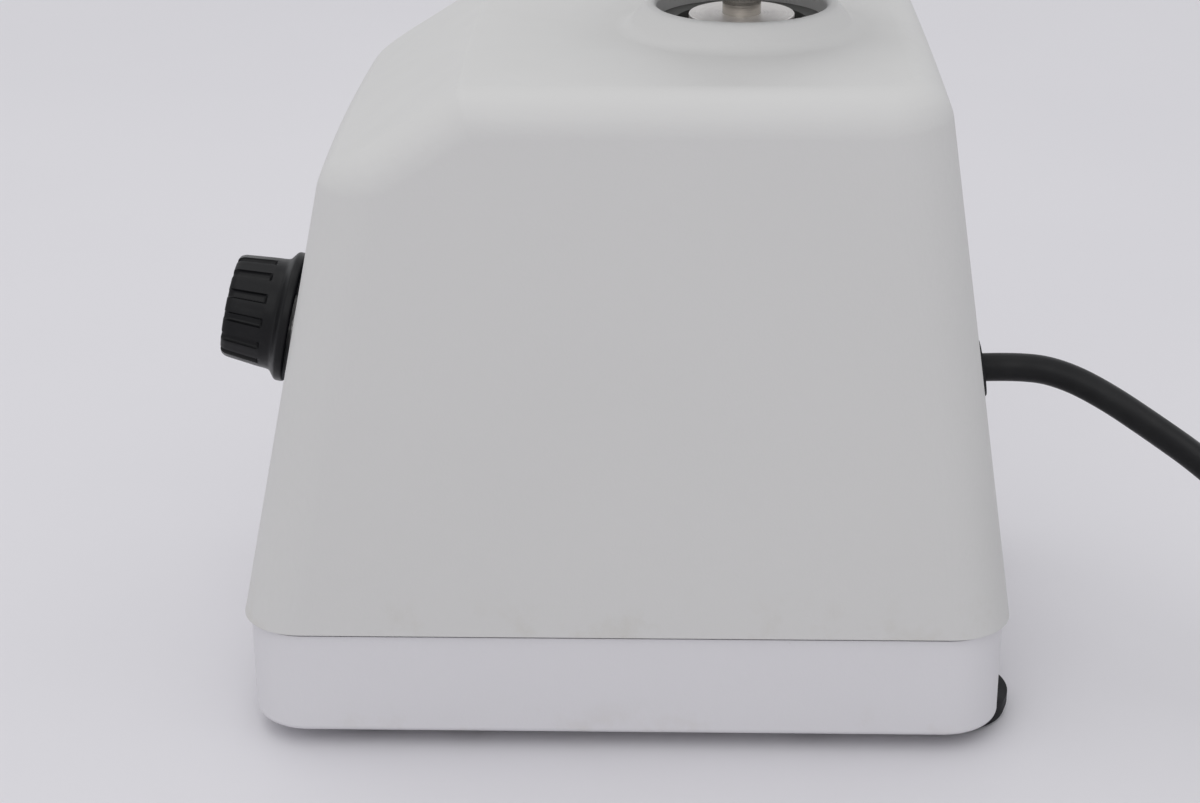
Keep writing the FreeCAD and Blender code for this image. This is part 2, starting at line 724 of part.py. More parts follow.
def potentiometer_nut():
    angles = [math.radians(60 * k) for k in range(7)]
    corners = [V(knob_x + 8.0 * math.cos(t), 8.0 * math.sin(t), plate_top) for t in angles]
    nut = Part.Face(Part.makePolygon(corners)).extrude(V(0, 0, 2.0))
    return on_front(nut.cut(cyl(4.7, -5, 5, knob_x)))


def potentiometer_shaft():
    shaft = cyl(3.1, -11.8, 14.0, knob_x)
    return on_front(shaft.cut(box(knob_x - 4, knob_x + 4, 1.8, 4, 4.5, 15)))


flute_count = 14
skirt_back = 1.0


def speed_knob():
    """Skirted knob: conical skirt, plain collar, fluted grip, slightly domed face."""
    grip_low = 7.6
    skirt = knob_skirt_radius
    body = revolve([(0, skirt_back), (skirt - 0.3, skirt_back), (skirt, skirt_back + 0.4),
                    (skirt, 3.0), (skirt - 0.5, 3.5), (13.0, 4.6), (12.8, 5.4),
                    (knob_radius + 0.1, knob_front - 1.6), (knob_radius - 0.2, knob_front - 1.0),
                    (knob_radius - 1.0, knob_front - 0.35), (8.0, knob_front - 0.1), (0, knob_front)])
    groove = Part.makeCylinder(0.85, 14, V(knob_radius + 0.75, 0, grip_low), V(-0.06, 0, 1))
    lead_in = Part.makeSphere(0.85, V(knob_radius + 0.75, 0, grip_low))
    cutter = groove.fuse(lead_in)
    for slot in spread(cutter, flute_count, 0, 0, 9):
        body = body.cut(slot)
    body = body.cut(cyl(9.6, 0, 4.6)).cut(cyl(5.6, 0, 5.6))
    bore = cyl(3.1, 0, 14.0).cut(box(-4, 4, 1.8, 4, 4.5, 15))
    body = body.cut(bore)
    hole = Part.makeCylinder(1.5, 16, V(0, 1.8, 9.5), V(0, 1, 0))
    body = body.cut(hole)
    return on_front(moved(body, knob_x, 0, 0))


rocker_axis = -1.4


def rocker_housing():
    bezel = round_box(rocker_x - 8.4, rocker_x + 8.4, -12.2, 12.2, plate_top, plate_top + 1.6, 1.2)
    body = box(rocker_x - 6.6, rocker_x + 6.6, -10.1, 10.1, -17.0, plate_top)
    housing = fuse([bezel, body])
    housing = housing.cut(box(rocker_x - 5.3, rocker_x + 5.3, -8.9, 8.9, -8.0, 4))
    pin = Part.makeCylinder(1.0, 10.6, V(rocker_x - 5.3, 0, rocker_axis), V(1, 0, 0))
    return on_front(fuse([housing, pin]))


def rocker_paddle():
    """Three-way paddle: shallow V face, round belly, pivot bore."""
    half = 8.0
    face = [(-half, 2.0), (-half * 0.5, 1.15), (0, 0.9), (half * 0.5, 1.15), (half, 2.0),
            (half - 0.6, -2.2), (4.0, -5.2), (-4.0, -5.2), (-half + 0.6, -2.2)]
    points = [V(rocker_x - 5.0, y, z) for y, z in face + face[:1]]
    paddle = Part.Face(Part.makePolygon(points)).extrude(V(10.0, 0, 0))
    bore = Part.makeCylinder(1.0 + running_gap, 12, V(rocker_x - 6, 0, rocker_axis), V(1, 0, 0))
    return on_front(paddle.cut(bore))


# --- electronics --------------------------------------------------------------------------
board_z = 30.0
board_top = board_z + 1.6


def control_board():
    board = round_box(-44, 44, -75, -23, board_z, board_top, 3)
    for x, y in board_posts:
        board = board.cut(cyl(1.6, 0, 50, x, y))
    return board


def board_screws():
    screw = machine_screw(1.5, 8.0, 2.7, 1.8)
    return Part.Compound([moved(screw, x, y, board_top) for x, y in board_posts])


def board_capacitors():
    parts = []
    for x, y, radius, height in ((-12, -58, 6.3, 20), (3, -60, 5.0, 16), (-38, -50, 4.0, 12)):
        can = cyl(radius, board_top, board_top + height, x, y)
        rim = [e for e in can.Edges if len(e.Vertexes) == 1 and e.Vertexes[0].Z > board_top + 1]
        parts.append(can.makeFillet(0.8, rim))
    return Part.Compound(parts)


def board_heatsink():
    fins = [box(14, 40, -66 + 4 * k, -64.6 + 4 * k, board_top, board_top + 22) for k in range(5)]
    return fuse([box(14, 16, -66, -48.6, board_top, board_top + 22)] + fins)


def terminal_block():
    block = box(-18, 18, -36, -26, board_top, board_top + 11)
    for k in range(6):
        block = block.cut(cyl(1.9, board_top + 7, board_top + 12, -15 + 6 * k, -31))
        block = block.cut(box(-16.8 + 6 * k, -13.2 + 6 * k, -28, -25, board_top + 2, board_top + 6))
    return block


def board_chips():
    return Part.Compound([box(-34, -24, -66, -59, board_top, board_top + 3.4),
                          box(-30, -18, -42, -38, board_top, board_top + 8),
                          box(24, 42, -38, -27, board_top, board_top + 14)])


# --- mains lead ---------------------------------------------------------------------------
def strain_relief():
    """Round moulded bushing: head outside, neck in the wall, body inside, bored for the cord."""
    body = revolve([(cord_radius, -14), (6.4, -14), (7.4, -12.4), (8.0, -wall - 1.2), (7.0, -wall - 0.6),
                    (7.0, 0.05), (gland_radius, 0.05), (gland_radius, gland_out - 1.0),
                    (gland_radius - 0.9, gland_out), (cord_radius, gland_out)])
    return on_rear(body)


exit_direction = V(0, math.cos(rear_tilt), math.sin(rear_tilt))
exit_point = V(0, rear_y(gland_z), gland_z) + exit_direction * gland_out

# The lead's route from the back wall to its coil, as corners of a path with tangent arcs.
cord_route = [
    exit_point,
    V(0.2, 97.5, 71.2),
    V(2.4, 106.6, 69.7),
    V(7.4, 115.6, 66.4),
    V(15.6, 125.2, 62.1),
    V(27.0, 135.6, 57.7),
    V(44, 148, 50.2),
    V(60, 161.3, 41.4),
    V(73, 176.6, 32.0),
    V(82.0, 196.0, 22.6),
    V(85.4, 209.0, 18.8),
    V(86.2, 220.0, 17.1),
]
coil_center = V(44.7, 223.0, 0)
coil_mean_radius = 38.0
coil_layers = 3


def rounded_path(points):
    """Straight runs joined by tangent arcs, with each arc's radius printed."""
    edges = []
    last = points[0]
    for a, b, c in zip(points, points[1:], points[2:]):
        into = (b - a).normalize()
        away = (c - b).normalize()
        reach = 0.45 * min((b - a).Length, (c - b).Length)
        half_turn = into.getAngle(away) / 2
        radius = reach / math.tan(half_turn)
        print("cord arc radius %.1f mm, turn %.0f degrees" % (radius, math.degrees(2 * half_turn)))
        start = b - into * reach
        end = b + away * reach
        center = b + (away - into).normalize() * (radius / math.cos(half_turn))
        middle = center + (b - center).normalize() * radius
        edges.append(Part.LineSegment(last, start).toShape())
        edges.append(Part.Arc(start, middle, end).toShape())
        last = end
    edges.append(Part.LineSegment(last, points[-1]).toShape())
    return Part.Wire(edges)


cord_path = rounded_path(cord_route)


def power_cord():
    first = cord_path.Edges[0]
    profile = Part.Wire([Part.makeCircle(cord_radius, cord_route[0], first.tangentAt(first.FirstParameter))])
    tube = cord_path.makePipeShell([profile], True, False)
    print("cord volume / (section x length): %.4f"
          % (tube.Volume / (math.pi * cord_radius ** 2 * cord_path.Length)))
    return tube


def cord_coil():
    """Outer shape of the coiled rest of the lead: a fat ring lying on the table."""
    width = cord_radius * 4.1
    height = cord_radius * 2 * coil_layers * 0.98
    inner = coil_mean_radius - width / 2
    outer = coil_mean_radius + width / 2
    body = ring(outer, inner, 0.0, height, coil_center.x, coil_center.y)
    rims = [e for e in body.Edges if len(e.Vertexes) == 1]
    return body.makeFillet(3.0, rims)


outer_turn_radius = coil_mean_radius + cord_radius * 1.05
plug_turn = -90.0
plug_lift = 9.6
sleeve_start = 18.0
grip_start = 48.0
grip_end = 71.0


def beside_coil(shape):
    """Plug frame: -Y points away from the coil, along the tangent where the lead leaves it."""
    copy = shape.copy()
    copy.rotate(V(0, 0, 0), V(0, 0, 1), plug_turn)
    angle = math.radians(180 + plug_turn)
    copy.translate(coil_center + V(math.cos(angle), math.sin(angle), 0) * outer_turn_radius)
    return copy


def plug_body():
    """Moulded plug, lying beside the coil with its sleeve against the last turn."""
    sleeve = Part.makeCone(4.4, 6.4, 30.0, V(0, -sleeve_start, plug_lift), V(0, -1, 0))
    neck = round_box(-9, 9, -grip_start - 5, -grip_start + 3, plug_lift - 7.5, plug_lift + 7.5, 2.5)
    grip = round_box(-12.5, 12.5, -grip_end, -grip_start, plug_lift - 9.5, plug_lift + 9.5, 3.0)
    return beside_coil(fuse([sleeve, neck, grip]))


def plug_blades():
    """Two flat blades and a round earth pin."""
    blade = box(-0.75, 0.75, -grip_end - 17, -grip_end, plug_lift - 1.2, plug_lift + 5.2)
    blades = [moved(blade, side * 6.35, 0, 0) for side in (-1, 1)]
    pin = Part.makeCylinder(2.4, 20.0, V(0, -grip_end, plug_lift - 5.0), V(0, -1, 0))
    return Part.Compound([beside_coil(b) for b in blades + [pin]])


# --- write every node ---------------------------------------------------------------------
def node_shapes():
    return {
        "cover": cover(),
        "base_pan": base_pan(),
        "seam_gasket": seam_gasket(),
        "foot_front_left": moved(foot(), -foot_x, foot_front_y, 0),
        "foot_front_right": moved(foot(), foot_x, foot_front_y, 0),
        "foot_rear_left": moved(foot(), -foot_x, foot_rear_y, 0),
        "foot_rear_right": moved(foot(), foot_x, foot_rear_y, 0),
        "foot_screws": foot_screws(),
        "cover_screws": cover_screws(),
        "ballast_plate": ballast_plate(),
        "ballast_screws": ballast_screws(),
        "motor_grommets": motor_grommets(),
        "motor_plate": motor_plate(),
        "motor_plate_screws": motor_plate_screws(),
        "motor_end_bell_lower": end_bell(motor_bottom, can_bottom),
        "motor_end_bell_upper": end_bell(can_top, motor_top),
        "motor_can": motor_can(),
        "motor_tie_bolts": tie_bolts(),
        "bushing_lower": bushing(motor_bottom, 51.0),
        "bushing_upper": bushing(112.0, upper_bushing_top),
        "motor_magnets": motor_magnets(),
        "brush_holders": brush_holders(),
        "carbon_brushes": carbon_brushes(),
        "brush_springs": brush_springs(),
        "rotor_shaft": rotor_shaft(),
        "armature_core": armature_core(),
        "armature_windings": armature_windings(),
        "commutator": commutator(),
        "eccentric_hub": eccentric_hub(),
        "hub_set_screw": hub_set_screw(),
        "counterweight": counterweight(),
        "counterweight_screws": counterweight_screws(),
        "bearing_outer_ring": race(bearing_radius, 9.2),
        "bearing_balls": bearing_balls(),
        "bearing_inner_ring": race(6.4, spigot_radius),
        "head_spindle": head_spindle(),
        "head_disc": head_disc(),
        "splash_ring": splash_ring(),
        "cup_core": cup_core(),
        "cup_rubber": cup_rubber(),
        "thrust_guide": thrust_guide(),
        "touch_plunger": touch_plunger(),
        "touch_spring": touch_spring(),
        "microswitch_bracket": microswitch_bracket(),
        "microswitch_body": microswitch_body(),
        "microswitch_lever": microswitch_lever(),
        "dial_plate": dial_plate(),
        "potentiometer_body": potentiometer_body(),
        "potentiometer_nut": potentiometer_nut(),
        "potentiometer_shaft": potentiometer_shaft(),
        "speed_knob": speed_knob(),
        "rocker_housing": rocker_housing(),
        "rocker_paddle": rocker_paddle(),
        "control_board": control_board(),
        "board_parts": Part.Compound([board_heatsink(), terminal_block()] + board_capacitors().Solids
                                     + board_chips().Solids + board_screws().Solids),
        "strain_relief": strain_relief(),
        "power_cord": power_cord(),
        "cord_coil": cord_coil(),
        "plug_body": plug_body(),
        "plug_blades": plug_blades(),
    }


def main():
    os.makedirs("parts", exist_ok=True)
    for name, shape in node_shapes().items():
        solids = len(shape.Solids)
        print("%-24s solids %d volume %.1f valid %s" % (name, solids, shape.Volume, shape.isValid()))
        shape.exportStep("parts/%s.step" % name)


main()
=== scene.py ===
"""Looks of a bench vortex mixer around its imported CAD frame. Metres, +Z up, front towards -Y."""

import json
import math

import bmesh
import bpy
from mathutils import Matrix, Vector


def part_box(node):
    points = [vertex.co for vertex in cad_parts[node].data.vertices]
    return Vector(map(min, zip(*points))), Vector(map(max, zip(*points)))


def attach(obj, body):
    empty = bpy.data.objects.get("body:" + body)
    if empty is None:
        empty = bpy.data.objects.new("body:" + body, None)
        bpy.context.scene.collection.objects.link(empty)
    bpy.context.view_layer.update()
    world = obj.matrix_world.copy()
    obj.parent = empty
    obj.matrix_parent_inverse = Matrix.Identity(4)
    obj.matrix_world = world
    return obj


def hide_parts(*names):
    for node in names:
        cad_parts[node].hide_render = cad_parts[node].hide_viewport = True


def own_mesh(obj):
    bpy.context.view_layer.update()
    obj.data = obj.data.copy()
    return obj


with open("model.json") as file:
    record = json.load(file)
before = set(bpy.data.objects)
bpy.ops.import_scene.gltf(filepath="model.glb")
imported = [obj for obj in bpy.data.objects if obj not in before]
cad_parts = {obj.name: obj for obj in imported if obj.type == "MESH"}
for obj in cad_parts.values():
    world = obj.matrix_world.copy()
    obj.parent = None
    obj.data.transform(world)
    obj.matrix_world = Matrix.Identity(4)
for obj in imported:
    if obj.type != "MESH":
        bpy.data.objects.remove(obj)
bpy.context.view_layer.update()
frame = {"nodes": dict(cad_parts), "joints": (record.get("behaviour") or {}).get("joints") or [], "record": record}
record = frame["record"]
joints = {j["name"]: j for j in frame["joints"]}


# --- camera -------------------------------------------------------------------------------
CAMERA_PLACE = Vector((0.52327, 0.01426, 0.28170))
CAMERA_PITCH = math.radians(-22.82)
CAMERA_YAW = math.radians(2.09)
CAMERA_ROLL = math.radians(-0.56)
CAMERA_LENS = 70.3


def add_camera():
    forward = Vector((-math.cos(CAMERA_PITCH) * math.cos(CAMERA_YAW),
                      -math.cos(CAMERA_PITCH) * math.sin(CAMERA_YAW), math.sin(CAMERA_PITCH)))
    level = forward.cross(Vector((0, 0, 1))).normalized()
    above = level.cross(forward)
    right = level * math.cos(CAMERA_ROLL) + above * math.sin(CAMERA_ROLL)
    up = above * math.cos(CAMERA_ROLL) - level * math.sin(CAMERA_ROLL)
    data = bpy.data.cameras.new("camera")
    data.sensor_width = 36.0
    data.lens = CAMERA_LENS
    data.clip_start = 0.01
    camera = bpy.data.objects.new("camera", data)
    turned = Matrix((right, up, -forward)).transposed().to_4x4()
    camera.matrix_world = Matrix.Translation(CAMERA_PLACE) @ turned
    bpy.context.scene.collection.objects.link(camera)
    bpy.context.scene.camera = camera


add_camera()


# --- material building blocks -------------------------------------------------------------
class Surface:
    """One node material on a Principled shader, with helpers that add detail to it."""

    def __init__(self, name, colour, rough, metal=0.0, gloss=0.5):
        self.material = bpy.data.materials.new(name)
        self.material.use_nodes = True
        self.tree = self.material.node_tree
        self.shader = self.tree.nodes["Principled BSDF"]
        self.colour = colour
        self.rough = rough
        self.shader.inputs["Base Color"].default_value = (*colour, 1)
        self.shader.inputs["Roughness"].default_value = rough
        self.shader.inputs["Metallic"].default_value = metal
        self.shader.inputs["Specular IOR Level"].default_value = gloss
        self.where = self.node("ShaderNodeTexCoord").outputs["Object"]
        self.normal = None

    def node(self, kind, **inputs):
        made = self.tree.nodes.new(kind)
        for key, value in inputs.items():
            self.give(made, key.replace("_", " "), value)
        return made

    def give(self, node, key, value):
        if isinstance(value, bpy.types.NodeSocket):
            self.tree.links.new(value, node.inputs[key])
        else:
            node.inputs[key].default_value = value

    def noise(self, scale, detail=3.0, stretch=(1, 1, 1), rough=0.5):
        """Noise of about 1/scale metres, stretched along the axes."""
        place = self.node("ShaderNodeMapping", Vector=self.where, Scale=stretch)
        made = self.node("ShaderNodeTexNoise", Vector=place.outputs["Vector"], Scale=scale,
                         Detail=detail, Roughness=rough)
        return made.outputs["Fac"]

    def rings(self, centre, scale, axis_z=False):
        """Noise that changes only with the distance from an upright axis, or only with height."""
        place = self.node("ShaderNodeVectorMath", Vector=self.where)
        place.operation = "SUBTRACT"
        place.inputs[1].default_value = centre
        apart = self.node("ShaderNodeSeparateXYZ", Vector=place.outputs["Vector"])
        if axis_z:
            along = apart.outputs["Z"]
        else:
            flat = self.node("ShaderNodeCombineXYZ", X=apart.outputs["X"], Y=apart.outputs["Y"])
            length = self.node("ShaderNodeVectorMath", Vector=flat.outputs["Vector"])
            length.operation = "LENGTH"
            along = length.outputs["Value"]
        made = self.tree.nodes.new("ShaderNodeTexNoise")
        made.noise_dimensions = "1D"
        self.give(made, "W", along)
        made.inputs["Scale"].default_value = scale
        made.inputs["Detail"].default_value = 4.0
        return made.outputs["Fac"]

    def spread(self, source, low, high, out_low, out_high):
        """The source's stretch from low to high, mapped to another stretch and clamped."""
        made = self.node("ShaderNodeMapRange", Value=source, From_Min=low, From_Max=high,
                         To_Min=out_low, To_Max=out_high)
        return made.outputs["Result"]

    def bump(self, source, depth, strength=1.0):
        """Relief of the given depth in metres, added to any relief already there."""
        made = self.node("ShaderNodeBump", Height=source, Strength=strength, Distance=depth)
        if self.normal is not None:
            self.give(made, "Normal", self.normal)
        self.normal = made.outputs["Normal"]
        self.give(self.shader, "Normal", self.normal)
        return self

    def vary_rough(self, source, share):
        """Roughness that swings by the given share about its middle value."""
        low = self.rough * (1 - share)
        high = min(1, self.rough * (1 + share))
        self.give(self.shader, "Roughness", self.spread(source, 0.3, 0.7, low, high))
        return self

    def tint(self, mask, colour):
        """Blend towards a colour where the mask is 1."""
        made = self.tree.nodes.new("ShaderNodeMix")
        made.data_type = "RGBA"
        factor, low, high = made.inputs[0], made.inputs[6], made.inputs[7]
        self.tree.links.new(mask, factor)
        old = self.shader.inputs["Base Color"]
        if old.is_linked:
            self.tree.links.new(old.links[0].from_socket, low)
        else:
            low.default_value = (*self.colour, 1)
        high.default_value = (*colour, 1)
        self.tree.links.new(made.outputs[2], old)
        return self

    def height(self):
        """Height above the table."""
        apart = self.node("ShaderNodeSeparateXYZ", Vector=self.where)
        return apart.outputs["Z"]

    def product(self, first, second):
        made = self.tree.nodes.new("ShaderNodeMath")
        made.operation = "MULTIPLY"
        self.tree.links.new(first, made.inputs[0])
        self.tree.links.new(second, made.inputs[1])
        return made.outputs[0]


def scaled(colour, share):
    return tuple(min(1.0, c * share) for c in colour)


# --- materials ----------------------------------------------------------------------------
def paint(name, colour, rough, low_z, high_z):
    """Satin paint: a fine orange peel, cloudy tone, and rubbed grime near the seam or the foot."""
    made = Surface(name, colour, rough, gloss=0.28)
    made.tint(made.spread(made.noise(14, 4), 0.35, 0.7, 0.0, 0.35), scaled(colour, 0.955))
    near = made.spread(made.height(), low_z, high_z, 1.0, 0.0)
    patches = made.spread(made.noise(55, 5, rough=0.65), 0.56, 0.72, 0.0, 0.55)
    made.tint(made.product(near, patches), scaled((colour[0], colour[1] * 0.97, colour[2] * 0.9), 0.86))
    specks = made.spread(made.noise(210, 2), 0.80, 0.83, 0.0, 0.5)
    made.tint(specks, (0.30, 0.25, 0.20))
    made.bump(made.noise(1500, 2), 0.00004, 0.5).bump(made.noise(420, 2), 0.00003, 0.35)
    return made.vary_rough(made.noise(60, 4), 0.14).material


def rubber(name, colour, rough=0.62):
    made = Surface(name, colour, rough, gloss=0.22)
    made.tint(made.spread(made.noise(90, 5), 0.5, 0.75, 0.0, 0.6), tuple(c + 0.010 for c in colour))
    made.bump(made.noise(2600, 2), 0.00005, 0.6).bump(made.noise(600, 3), 0.00006, 0.3)
    return made.vary_rough(made.noise(140, 3), 0.2).material


def plastic(name, colour, rough=0.4, dust=0.006):
    made = Surface(name, colour, rough, gloss=0.2)
    made.tint(made.spread(made.noise(160, 5), 0.52, 0.78, 0.0, 0.55), tuple(c + dust for c in colour))
    made.bump(made.noise(3200, 2), 0.00002, 0.5).bump(made.noise(500, 2), 0.00002, 0.3)
    return made.vary_rough(made.noise(220, 4), 0.25).material


def turned_metal(name, colour, rough, centre, side=False):
    """Lathe marks: rings around the axis on a face, and around the side of a post."""
    made = Surface(name, colour, rough, metal=1.0)
    made.bump(made.rings(centre, 5200, side), 0.00002, 0.6).bump(made.noise(900, 3), 0.00001, 0.2)
    made.tint(made.spread(made.noise(260, 4), 0.5, 0.8, 0.0, 0.5), scaled(colour, 0.72))
    return made.vary_rough(made.rings(centre, 2600, side), 0.35).material


def milled_metal(name, colour, rough, stretch=(1, 12, 1), metal=1.0):
    """Brushed or rolled metal with its grain along one axis."""
    made = Surface(name, colour, rough, metal=metal)
    made.bump(made.noise(1400, 3, stretch), 0.00002, 0.5)
    made.tint(made.spread(made.noise(120, 5), 0.5, 0.78, 0.0, 0.6), scaled(colour, 0.7))
    return made.vary_rough(made.noise(500, 3, stretch), 0.3).material


def cast_metal(name, colour, rough, metal=0.9):
    made = Surface(name, colour, rough, metal=metal)
    made.bump(made.noise(700, 5), 0.00015, 0.6)
    made.tint(made.spread(made.noise(90, 5), 0.5, 0.72, 0.0, 0.6), scaled(colour, 0.6))
    return made.vary_rough(made.noise(300, 4), 0.25).material


def laminations(name, colour):
    """Stacked sheets seen on edge: fine even lines with height."""
    made = Surface(name, colour, 0.45, metal=0.9)
    made.bump(made.rings((0, 0, 0), 9000, True), 0.00006, 0.8)
    made.tint(made.spread(made.noise(80, 5), 0.5, 0.75, 0.0, 0.5), scaled(colour, 0.5))
    return made.vary_rough(made.noise(300, 3), 0.25).material


def wound_wire(name, colour):
    """Layers of enamelled wire, round the core's slots."""
    made = Surface(name, colour, 0.32, metal=0.85)
    waves = made.tree.nodes.new("ShaderNodeTexWave")
    waves.bands_direction = "DIAGONAL"
    made.give(waves, "Vector", made.where)
    waves.inputs["Scale"].default_value = 420
    waves.inputs["Distortion"].default_value = 3.0
    made.bump(waves.outputs["Fac"], 0.0002, 0.8)
    made.tint(made.spread(made.noise(120, 4), 0.5, 0.75, 0.0, 0.6), scaled(colour, 0.55))
    return made.vary_rough(made.noise(400, 3), 0.25).material


def board_mask(name, colour):
    """Solder mask with faint tracks under it."""
    made = Surface(name, colour, 0.3, gloss=0.6)
    cells = made.tree.nodes.new("ShaderNodeTexVoronoi")
    cells.distance = "MANHATTAN"
    made.give(cells, "Vector", made.where)
    cells.inputs["Scale"].default_value = 240
    made.tint(made.spread(cells.outputs["Distance"], 0.25, 0.3, 0.0, 0.5), scaled(colour, 1.8))
    made.bump(cells.outputs["Distance"], 0.00003, 0.4)
    return made.vary_rough(made.noise(200, 3), 0.2).material


COVER_COLOUR = (0.640, 0.634, 0.626)
BASE_COLOUR = (0.700, 0.688, 0.712)
base_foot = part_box("base_pan")[0].z
cover_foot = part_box("cover")[0].z
cover_grime_top = cover_foot + 0.012
base_grime_top = base_foot + 0.010
head_centre = tuple(joints["head_orbit"]["pos_m"])
rotor_centre = tuple(joints["rotor_spin"]["pos_m"])

materials = {
    "cover_paint": paint("cover_paint", COVER_COLOUR, 0.5, cover_foot, cover_grime_top),
    "base_paint": paint("base_paint", BASE_COLOUR, 0.48, base_foot, base_grime_top),
    "black_rubber": rubber("black_rubber", (0.010, 0.010, 0.012)),
    "dark_rubber": rubber("dark_rubber", (0.11, 0.11, 0.105), 0.55),
    "cord_rubber": rubber("cord_rubber", (0.009, 0.009, 0.010), 0.4),
    "steel": milled_metal("steel", (0.58, 0.57, 0.56), 0.32),
    "zinc_screw": milled_metal("zinc_screw", (0.62, 0.62, 0.60), 0.28, (8, 1, 1)),
    "cast_steel": cast_metal("cast_steel", (0.17, 0.17, 0.18), 0.55),
    "aluminium": cast_metal("aluminium", (0.70, 0.70, 0.71), 0.38),
    "bronze": cast_metal("bronze", (0.55, 0.36, 0.17), 0.45),
    "copper": wound_wire("copper", (0.62, 0.25, 0.10)),
    "black_plastic": plastic("black_plastic", (0.006, 0.006, 0.007), 0.34),
    "panel_plastic": plastic("panel_plastic", (0.075, 0.085, 0.105), 0.45),
    "board_green": board_mask("board_green", (0.02, 0.14, 0.05)),
    "magnet": cast_metal("magnet", (0.06, 0.06, 0.065), 0.6, 0.3),
    "turned_disc": turned_metal("turned_disc", (0.87, 0.84, 0.82), 0.5, head_centre),
    "turned_post": turned_metal("turned_post", (0.46, 0.43, 0.39), 0.2, head_centre, True),
    "turned_rotor": turned_metal("turned_rotor", (0.62, 0.62, 0.61), 0.30, rotor_centre, True),
    "core_sheets": laminations("core_sheets", (0.30, 0.30, 0.31)),
    "rocker_gloss": plastic("rocker_gloss", (0.016, 0.016, 0.017), 0.22, 0.01),
    "print_white": plastic("print_white", (0.78, 0.78, 0.76), 0.5, 0.0),
}
special = {
    "head_disc": "turned_disc",
    "head_spindle": "turned_post",
    "rotor_shaft": "turned_rotor",
    "eccentric_hub": "turned_rotor",
    "armature_core": "core_sheets",
    "rocker_paddle": "rocker_gloss",
}


CRISP_ANGLE = 28
WELD_GAP = 1e-7


def smooth_by_angle(degrees):
    """Node group that keeps only the edges with a larger face angle sharp."""
    group = bpy.data.node_groups.new("smooth_by_angle", "GeometryNodeTree")
    group.interface.new_socket("Geometry", in_out="INPUT", socket_type="NodeSocketGeometry")
    group.interface.new_socket("Geometry", in_out="OUTPUT", socket_type="NodeSocketGeometry")
    start = group.nodes.new("NodeGroupInput")
    end = group.nodes.new("NodeGroupOutput")
    bend = group.nodes.new("GeometryNodeInputMeshEdgeAngle")
    small = group.nodes.new("FunctionNodeCompare")
    small.operation = "LESS_EQUAL"
    small.inputs["B"].default_value = math.radians(degrees)
    faces = group.nodes.new("GeometryNodeSetShadeSmooth")
    faces.domain = "FACE"
    edges = group.nodes.new("GeometryNodeSetShadeSmooth")
    edges.domain = "EDGE"
    group.links.new(start.outputs[0], faces.inputs["Geometry"])
    group.links.new(faces.outputs[0], edges.inputs["Geometry"])
    group.links.new(bend.outputs["Unsigned Angle"], small.inputs["A"])
    group.links.new(small.outputs["Result"], edges.inputs["Shade Smooth"])
    group.links.new(edges.outputs[0], end.inputs[0])
    return group


def dress_cad_nodes():
    """Every CAD node takes the material of its slot, with smooth shading over its round faces."""
    smoothing = smooth_by_angle(CRISP_ANGLE)
    slots = {s["node"]: s["material_slot"] for s in record["subparts"]}
    for name, thing in frame["nodes"].items():
        thing.data.materials.clear()
        thing.data.materials.append(materials[special.get(name, slots[name])])
        weld = thing.modifiers.new("weld", "WELD")
        weld.merge_threshold = WELD_GAP
        angles = thing.modifiers.new("angles", "NODES")
        angles.node_group = smoothing
        even = thing.modifiers.new("even", "WEIGHTED_NORMAL")
        even.keep_sharp = True


dress_cad_nodes()


# --- mesh helpers -------------------------------------------------------------------------
def add_piece(name, mesh, body, material, replaced=(), place=None):
    """A new object from a mesh, riding on a body and taking a material slot."""
    if place is not None:
        mesh.transform(place)
    thing = bpy.data.objects.new(name, mesh)
    bpy.context.scene.collection.objects.link(thing)
    thing.data.materials.append(materials[material])
    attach(thing, body)
    if replaced:
        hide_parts(*replaced)
    return thing


def mesh_from(name, points, faces, smooth=35):
    """A mesh whose faces point outwards, smooth except at edges sharper than the angle."""
    mesh = bpy.data.meshes.new(name)
    mesh.from_pydata(points, [], faces)
    bm = bmesh.new()
    bm.from_mesh(mesh)
    bmesh.ops.recalc_face_normals(bm, faces=bm.faces)
    bm.to_mesh(mesh)
    bm.free()
    mesh.shade_smooth()
    mesh.set_sharp_from_angle(angle=math.radians(smooth))
    return mesh


def softened(outline, reach, steps=5):
    """An outline of (radius, z) corners with each inner corner turned into a small curve."""
    made = [Vector(outline[0])]
    for a, b, c in zip(outline, outline[1:], outline[2:]):
        a, b, c = Vector(a), Vector(b), Vector(c)
        back = min(reach, (a - b).length * 0.45)
        on = min(reach, (c - b).length * 0.45)
        start = b + (a - b).normalized() * back
        end = b + (c - b).normalized() * on
        for k in range(steps + 1):
            t = k / steps
            made.append(start * (1 - t) ** 2 + b * 2 * t * (1 - t) + end * t ** 2)
    return made + [Vector(outline[-1])]


def even_angles(count):
    return [2 * math.pi * k / count for k in range(count)]


def lathe(name, outline, angles, radius_at=None, smooth=35):
    """Turn an outline around Z. radius_at(angle, radius, z) may press grooves into it."""
    points, faces, rings = [], [], []
    for r, z in outline:
        if r < 1e-7:
            rings.append([len(points)] * len(angles))
            points.append((0, 0, z))
            continue
        rings.append(list(range(len(points), len(points) + len(angles))))
        for angle in angles:
            rr = radius_at(angle, r, z) if radius_at else r
            points.append((rr * math.cos(angle), rr * math.sin(angle), z))
    for low, high in zip(rings, rings[1:]):
        for k in range(len(angles)):
            n = (k + 1) % len(angles)
            corners = [low[k], low[n], high[n], high[k]]
            kept = list(dict.fromkeys(corners))
            if len(kept) > 2:
                faces.append(kept)
    return mesh_from(name, points, faces, smooth)


